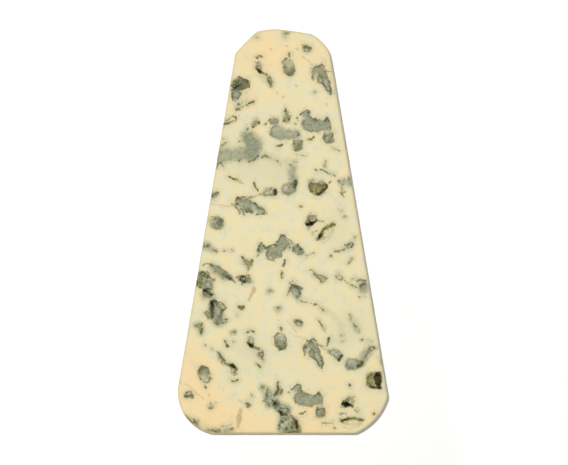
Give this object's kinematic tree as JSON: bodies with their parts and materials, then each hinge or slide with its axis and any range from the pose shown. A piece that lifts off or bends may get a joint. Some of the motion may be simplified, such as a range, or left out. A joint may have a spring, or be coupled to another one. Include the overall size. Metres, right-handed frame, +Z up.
{
  "type": "vegan blue cheese wedge",
  "caption": "Tapered wedge of veined blue cheese lying on its flat underside, cut face up, with blunted corners and small open mould pockets.",
  "frame": {"origin": "middle of the underside's box, on the surface that the wedge lies on", "axes": "+Y towards the narrow end, +Z up out of the cut face, +X to the right seen from above with the narrow end away"},
  "size_m": [0.0598, 0.115, 0.03],
  "materials": {
    "cheese": "moist matt cut paste, cream with grey-green mould veins"
  },
  "bodies": {
    "root": {"cheese_wedge": "cheese"}
  },
  "joints": []
}
